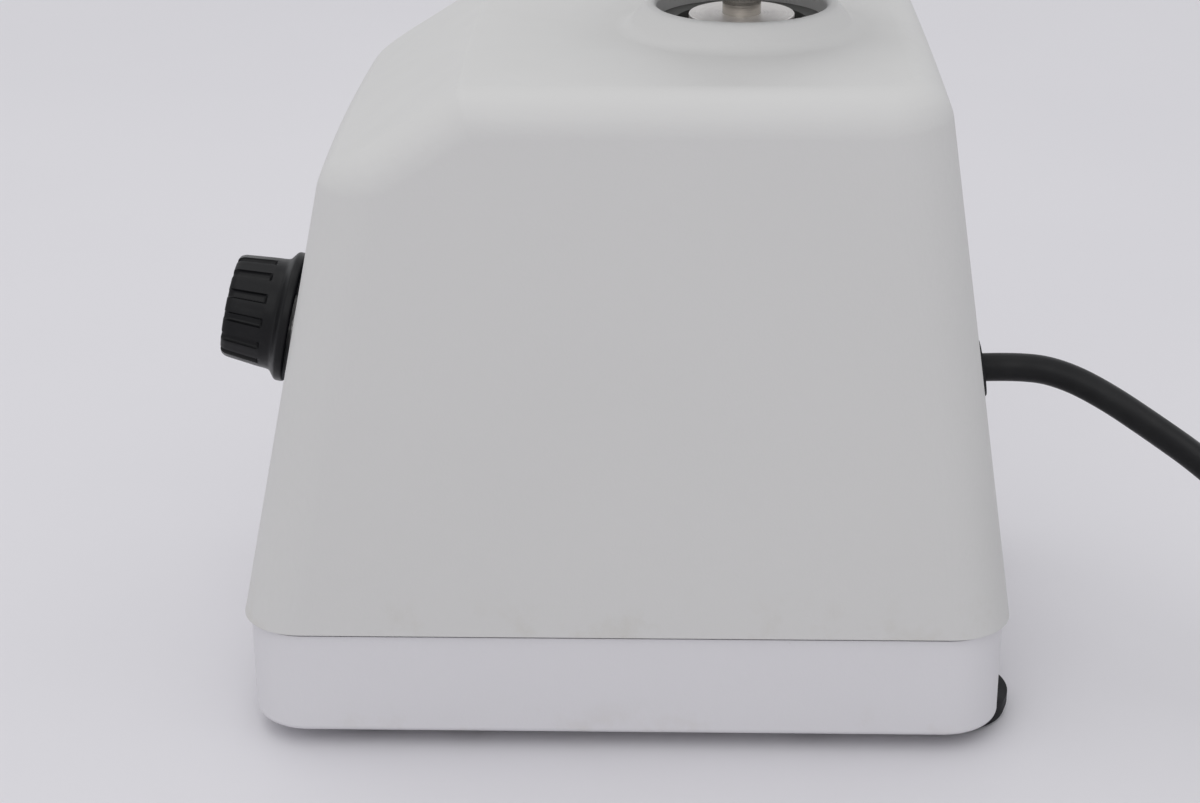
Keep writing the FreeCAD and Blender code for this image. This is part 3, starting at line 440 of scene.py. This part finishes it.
def place_on_joint(joint, along=0.0):
    """Frame at a joint: Z along its axis, X along the row's X."""
    z = Vector(joint["axis"]).normalized()
    x = (Vector((1, 0, 0)) - z * z.x).normalized()
    y = z.cross(x)
    turned = Matrix((x, y, z)).transposed().to_4x4()
    return Matrix.Translation(Vector(joint["pos_m"]) + z * along) @ turned


# --- mains lead ---------------------------------------------------------------------------
CORD_RADIUS = 0.0034
CORD_ROUTE = [
    (0, 0.08692, 0.07072),
    (0.0002, 0.0975, 0.0712),
    (0.0024, 0.1066, 0.0697),
    (0.0074, 0.1156, 0.0664),
    (0.0156, 0.1252, 0.0621),
    (0.0270, 0.1356, 0.0577),
    (0.044, 0.148, 0.0502),
    (0.060, 0.1613, 0.0414),
    (0.073, 0.1766, 0.0320),
    (0.0820, 0.1960, 0.0226),
    (0.0854, 0.2090, 0.0188),
]
COIL_CENTRE = Vector((0.0447, 0.2230, 0))
COIL_RADIUS = 0.038
COIL_START = math.radians(-4)
COIL_STEPS = 16
COIL_SIDE = CORD_RADIUS * 1.05
LAYER_HEIGHT = CORD_RADIUS * 1.985
PLUG_ANGLE = math.radians(90)
PLUG_HEIGHT = 0.0096
# (turn at which the lead moves over, in or out, layer)
COIL_LANES = [(0.0, 1, 2), (0.80, -1, 2), (1.70, -1, 1), (2.60, -1, 0), (3.50, 1, 0), (4.40, 1, 1)]
LANE_CHANGE = 0.12


def coil_lane(turn):
    """Side and layer of the lead after so many turns, sliding smoothly between lanes."""
    side, layer = COIL_LANES[0][1:]
    for start, next_side, next_layer in COIL_LANES[1:]:
        t = max(0.0, min(1.0, (turn - start) / LANE_CHANGE))
        t = t * t * (3 - 2 * t)
        side += (next_side - side) * t
        layer += (next_layer - layer) * t
    return side, layer


def coil_points():
    """Control points of the turns, a little outside the circle that the spline then keeps."""
    total = 5 + (PLUG_ANGLE - COIL_START) / (2 * math.pi)
    step = 1 / COIL_STEPS
    swell = 1 / (0.75 + 0.25 * math.cos(2 * math.pi * step))
    points = []
    for k in range(int(total / step) + 1):
        turn = k * step
        side, layer = coil_lane(turn)
        radius = (COIL_RADIUS + side * COIL_SIDE) * swell
        angle = COIL_START + 2 * math.pi * turn
        height = CORD_RADIUS + 0.00005 + layer * LAYER_HEIGHT
        reach = Vector((radius * math.cos(angle), radius * math.sin(angle), height))
        points.append(COIL_CENTRE + reach)
    return points


def plug_lead():
    """The last stretch, along the tangent into the plug's sleeve."""
    out = Vector((math.cos(PLUG_ANGLE), math.sin(PLUG_ANGLE), 0))
    along = Vector((-math.sin(PLUG_ANGLE), math.cos(PLUG_ANGLE), 0))
    foot = COIL_CENTRE + out * (COIL_RADIUS + COIL_SIDE)
    return [foot + along * reach + Vector((0, 0, PLUG_HEIGHT)) for reach in (0.008, 0.020, 0.032)]


def mains_lead():
    """The whole lead, from its bushing through the coil to the plug, as one curve."""
    route = [Vector(p) for p in CORD_ROUTE] + coil_points() + plug_lead()
    curve = bpy.data.curves.new("mains_lead", "CURVE")
    curve.dimensions = "3D"
    curve.bevel_depth = CORD_RADIUS
    curve.bevel_resolution = 8
    curve.use_fill_caps = True
    spline = curve.splines.new("NURBS")
    spline.points.add(len(route) - 1)
    for point, place in zip(spline.points, route):
        point.co = (*place, 1)
    spline.order_u = 3
    spline.use_endpoint_u = True
    spline.resolution_u = 10
    lead = bpy.data.objects.new("mains_lead", curve)
    bpy.context.scene.collection.objects.link(lead)
    curve.materials.append(materials["cord_rubber"])
    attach(lead, "housing")
    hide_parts("power_cord", "cord_coil")
    return lead


lead = mains_lead()


# --- speed knob ---------------------------------------------------------------------------
KNOB_REACH = 0.008
FLUTES = 14
FLUTE_WIDTH = math.radians(5.2)
FLUTE_DEPTH = 0.0009
FLUTE_START = 0.0076
FLUTE_TURN = math.radians(9)
KNOB_FRONT = 0.0164
KNOB_FACE = 0.0100
KNOB_STEP = 0.0007


def fluted(angle, radius, z):
    """Press a round-bottomed slot into the grip at each flute, fading in above the collar."""
    pitch = 2 * math.pi / FLUTES
    away = (angle - FLUTE_TURN + pitch / 2) % pitch - pitch / 2
    across = abs(away) / FLUTE_WIDTH
    if z < FLUTE_START - 0.0005 or radius < KNOB_FACE:
        return radius
    shallow = min(1.0, (z - FLUTE_START + 0.0005) / 0.0006)
    if across < 1:
        return radius - FLUTE_DEPTH * shallow * (1 - across ** 6)
    crown = 0.00010 * (1 - (2 * abs(away) / pitch) ** 2) * shallow
    return radius - 0.00008 * shallow + crown


def knob_angles():
    """Angles of the knob's columns, close together where a slot's walls are."""
    pitch = 2 * math.pi / FLUTES
    across = [-1.12, -1.0, -0.97, -0.85, -0.6, -0.3, 0.0, 0.3, 0.6, 0.85, 0.97, 1.0, 1.12]
    land = pitch - 2 * 1.12 * FLUTE_WIDTH
    offsets = [a * FLUTE_WIDTH for a in across]
    offsets += [1.12 * FLUTE_WIDTH + land * (k + 1) / 7 for k in range(6)]
    return [FLUTE_TURN + f * pitch + o for f in range(FLUTES) for o in offsets]


def knob_mesh():
    """Skirt, collar, fluted grip and flat face, with extra rings along the grip."""
    front = KNOB_FRONT
    outline = [(0.0, 0.0010), (0.0147, 0.0010), (0.0150, 0.0014), (0.0150, 0.0030), (0.0145, 0.0035),
               (0.0130, 0.0046), (0.0128, 0.0056), (0.0127, FLUTE_START), (0.0119, front - 0.0014),
               (0.0113, front - 0.0003), (0.0102, front - 0.0002), (0.0080, front - 0.0006),
               (0.0076, front - 0.0004), (0.0, front)]
    profile = softened(outline, 0.0005, 4)
    dense = [profile[0]]
    for a, b in zip(profile, profile[1:]):
        pieces = max(1, math.ceil((b - a).length / KNOB_STEP)) if b.x > KNOB_FACE else 1
        dense += [a + (b - a) * (k + 1) / pieces for k in range(pieces)]
    return lathe("speed_knob_grip", dense, knob_angles(), fluted, 40)


knob_place = place_on_joint(joints["speed_knob_turn"], -KNOB_REACH)
add_piece("speed_knob_grip", knob_mesh(), "speed_control", "black_plastic",
          ["speed_knob"], knob_place)


def bar_points(x0, x1, y0, y1, z0, z1, bevel=0.00005):
    """Corner points and faces of a slim bar whose top edges are cut back."""
    low = [(x0, y0, z0), (x1, y0, z0), (x1, y1, z0), (x0, y1, z0)]
    mid = [(x, y, z1 - bevel) for x, y, _ in low]
    top = [(x0 + bevel, y0 + bevel, z1), (x1 - bevel, y0 + bevel, z1),
           (x1 - bevel, y1 - bevel, z1), (x0 + bevel, y1 - bevel, z1)]
    faces = [(3, 2, 1, 0), (8, 9, 10, 11)]
    for base in (0, 4):
        for k in range(4):
            n = (k + 1) % 4
            faces.append((base + k, base + n, base + 4 + n, base + 4 + k))
    return low + mid + top, faces


def bars_mesh(name, bars):
    """One mesh of several bars, each given with the angle it is turned by about Z at a centre."""
    points, faces = [], []
    for (x0, x1, y0, y1, z0, z1), centre, angle in bars:
        corners, sides = bar_points(x0, x1, y0, y1, z0, z1)
        turn = Matrix.Rotation(angle, 3, "Z")
        base = len(points)
        points += [tuple(turn @ Vector(p) + Vector(centre)) for p in corners]
        faces += [tuple(base + i for i in side) for side in sides]
    return mesh_from(name, points, faces, 30)


POINTER_BAR = (-0.0005, 0.0005, 0.0042, 0.0074, KNOB_FRONT - 0.0012, KNOB_FRONT + 0.00003)
pointer = bars_mesh("knob_pointer", [(POINTER_BAR, (0, 0, 0), 0.0)])
add_piece("knob_pointer", pointer, "speed_control", "print_white", (), knob_place)


# --- front panel print --------------------------------------------------------------------
PRINT = 0.00006
PRINT_SUNK = 0.0001
PLATE_TOP = -0.0007
ROCKER_SUNK = 0.0014
SCALE_TURN = 150
SCALE_STEPS = 10
TICK_HALF_WIDTH = 0.00022
TICK_START = 0.0163
TICK_END = 0.0171
TICK_GROWTH = 0.0009
MARKS_X = -0.0115
MARKS_Y = 0.0075
MARK_GAP = 0.0006
rocker_place = place_on_joint({"pos_m": joints["rocker_tilt"]["pos_m"],
                               "axis": joints["speed_knob_turn"]["axis"]}, ROCKER_SUNK)


def printed_bar(x0, x1, y0, y1):
    """A bar of print on the plate, rooted just below its surface."""
    return x0, x1, y0, y1, PLATE_TOP - PRINT_SUNK, PLATE_TOP + PRINT


def dial_ticks():
    """Ticks round the knob that lengthen towards full speed."""
    bars = []
    for k in range(SCALE_STEPS + 1):
        angle = math.radians(SCALE_TURN - 2 * SCALE_TURN * k / SCALE_STEPS)
        end = TICK_END + TICK_GROWTH * k / SCALE_STEPS
        tick = printed_bar(-TICK_HALF_WIDTH, TICK_HALF_WIDTH, TICK_START, end)
        bars.append((tick, (0, 0, 0), angle))
    return bars_mesh("dial_ticks", bars)


def rocker_marks():
    """One stroke beside one end of the rocker, two beside the other."""
    stroke = printed_bar(-0.0016, 0.0016, -0.00025, 0.00025)
    places = [(MARKS_X, MARKS_Y, 0), (MARKS_X - MARK_GAP, -MARKS_Y, 0), (MARKS_X + MARK_GAP, -MARKS_Y, 0)]
    return bars_mesh("rocker_marks", [(stroke, place, math.pi / 2) for place in places])


def print_ring(name, radius, thick, centre):
    low = PLATE_TOP - PRINT_SUNK
    high = PLATE_TOP + PRINT
    outline = [(radius - thick, low), (radius + thick, low), (radius + thick, high),
               (radius - thick, high), (radius - thick, low)]
    mesh = lathe(name, outline, even_angles(48))
    mesh.transform(Matrix.Translation(centre))
    return mesh


off_mark = print_ring("rocker_off_mark", 0.0015, 0.00025, Vector((MARKS_X, 0, 0)))
add_piece("dial_ticks", dial_ticks(), "housing", "print_white", (), knob_place)
add_piece("rocker_marks", rocker_marks(), "housing", "print_white", (), rocker_place)
add_piece("rocker_off_mark", off_mark, "housing", "print_white", (), rocker_place)


# --- cup ----------------------------------------------------------------------------------
CUP_RIDGES = 24
RIDGE_HEIGHT = 0.00018


def cup_mesh():
    """Rubber cup: straight neck, flared bell, thick rim and a dished top with grip ridges."""
    low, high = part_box("cup_rubber")
    top = high.z
    bottom = low.z
    radius = (high.x - low.x) / 2
    rim = radius - 0.0001
    outline = [(0.0086, bottom + 0.0002), (0.0124, bottom + 0.0001), (0.0135, bottom + 0.0012),
               (0.0151, bottom + 0.0070), (radius - 0.0013, bottom + 0.0155), (rim, bottom + 0.0172),
               (rim, top - 0.0016), (radius - 0.0015, top - 0.0001), (0.0186, top - 0.0001),
               (0.0174, top - 0.0010), (0.0110, top - 0.0074), (0.0040, top - 0.0096), (0.0, top - 0.0098)]

    def ridged(angle, r, z):
        """Ripple the dish, from nothing near its middle to full height outwards."""
        if r >= 0.0172 or z <= top - 0.0100:
            return r
        return r + RIDGE_HEIGHT * math.cos(CUP_RIDGES * angle) * min(1, max(0, (r - 0.005) / 0.004))

    return lathe("cup_bell", softened(outline, 0.0009, 5), even_angles(240), ridged)


cup_low, cup_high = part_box("cup_rubber")
cup_middle = (cup_low + cup_high) / 2
add_piece("cup_bell", cup_mesh(), "cup", "black_rubber", ["cup_rubber"],
          Matrix.Translation(Vector((cup_middle.x, cup_middle.y, 0))))


# --- touch spring -------------------------------------------------------------------------
SPRING_TURNS = 4.5
SPRING_WIRE = 0.0006
TURN_STEPS = 28
WIRE_SIDES = 8


def spring_mesh(low, high):
    """Round wire wound from the guide's seat up to the plunger's flange."""
    middle = (low + high) / 2
    radius = (high.x - low.x) / 2 - SPRING_WIRE
    bottom = low.z + SPRING_WIRE
    rise = high.z - low.z - 2 * SPRING_WIRE
    steps = int(SPRING_TURNS * TURN_STEPS)
    points, faces = [], []
    for k in range(steps + 1):
        angle = 2 * math.pi * k / TURN_STEPS
        outward = Vector((math.cos(angle), math.sin(angle), 0))
        core = Vector((middle.x, middle.y, bottom + rise * k / steps)) + outward * radius
        for side in range(WIRE_SIDES):
            turn = 2 * math.pi * side / WIRE_SIDES
            across = outward * math.cos(turn) + Vector((0, 0, math.sin(turn)))
            points.append(core + across * SPRING_WIRE)
    for k in range(steps):
        for side in range(WIRE_SIDES):
            here = k * WIRE_SIDES + side
            beside = k * WIRE_SIDES + (side + 1) % WIRE_SIDES
            faces.append((here, beside, beside + WIRE_SIDES, here + WIRE_SIDES))
    faces.append(tuple(range(WIRE_SIDES)))
    faces.append(tuple(range(steps * WIRE_SIDES, (steps + 1) * WIRE_SIDES)))
    return mesh_from("touch_spring_coil", points, faces, 60)


def add_touch_spring():
    """The spring's coil between its seat and the plunger, riding on the housing with a mesh of its own."""
    low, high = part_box("touch_spring")
    coil = add_piece("touch_spring_coil", spring_mesh(low, high), "housing", "steel",
                     ["touch_spring"])
    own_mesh(coil)


add_touch_spring()


# --- room ---------------------------------------------------------------------------------
FLOOR_HALF = 6.0
FLOOR_DROP = 0.00002
WORLD_COLOUR = (0.97, 0.98, 1.0, 1)
WORLD_STRENGTH = 0.74


def add_floor():
    """Plain pale floor, a hair below the feet."""
    mesh = bpy.data.meshes.new("floor")
    half = FLOOR_HALF
    corners = [(-half, -half, 0), (half, -half, 0), (half, half, 0), (-half, half, 0)]
    mesh.from_pydata(corners, [], [(0, 1, 2, 3)])
    floor = bpy.data.objects.new("floor", mesh)
    floor.location.z = -FLOOR_DROP
    bpy.context.scene.collection.objects.link(floor)
    made = Surface("floor", (0.77, 0.755, 0.785), 0.55, gloss=0.25)
    made.tint(made.spread(made.noise(3.5, 4), 0.4, 0.75, 0.0, 0.5), (0.73, 0.715, 0.75))
    mesh.materials.append(made.material)


def add_light(name, place, aim, size, power, colour=(1, 1, 1)):
    """A round soft light at a place, aimed at a point."""
    data = bpy.data.lights.new(name, "AREA")
    data.shape = "DISK"
    data.size = size
    data.energy = power
    data.color = colour
    light = bpy.data.objects.new(name, data)
    light.location = place
    light.rotation_mode = "QUATERNION"
    light.rotation_quaternion = (Vector(aim) - Vector(place)).to_track_quat("-Z", "Y")
    bpy.context.scene.collection.objects.link(light)


def add_room():
    """Even light from all round, a soft light overhead and a weak one from the camera's side."""
    world = bpy.data.worlds.new("studio")
    world.use_nodes = True
    background = world.node_tree.nodes["Background"]
    background.inputs["Color"].default_value = WORLD_COLOUR
    background.inputs["Strength"].default_value = WORLD_STRENGTH
    bpy.context.scene.world = world
    bpy.context.scene.view_settings.view_transform = "Standard"
    add_light("key", (-0.15, -0.25, 1.4), (0, 0, 0.08), 1.0, 2.2, (1.0, 0.995, 0.98))
    add_light("fill", (1.0, -0.1, 1.1), (0.1, 0, 0), 1.2, 3.0)


add_floor()
add_room()
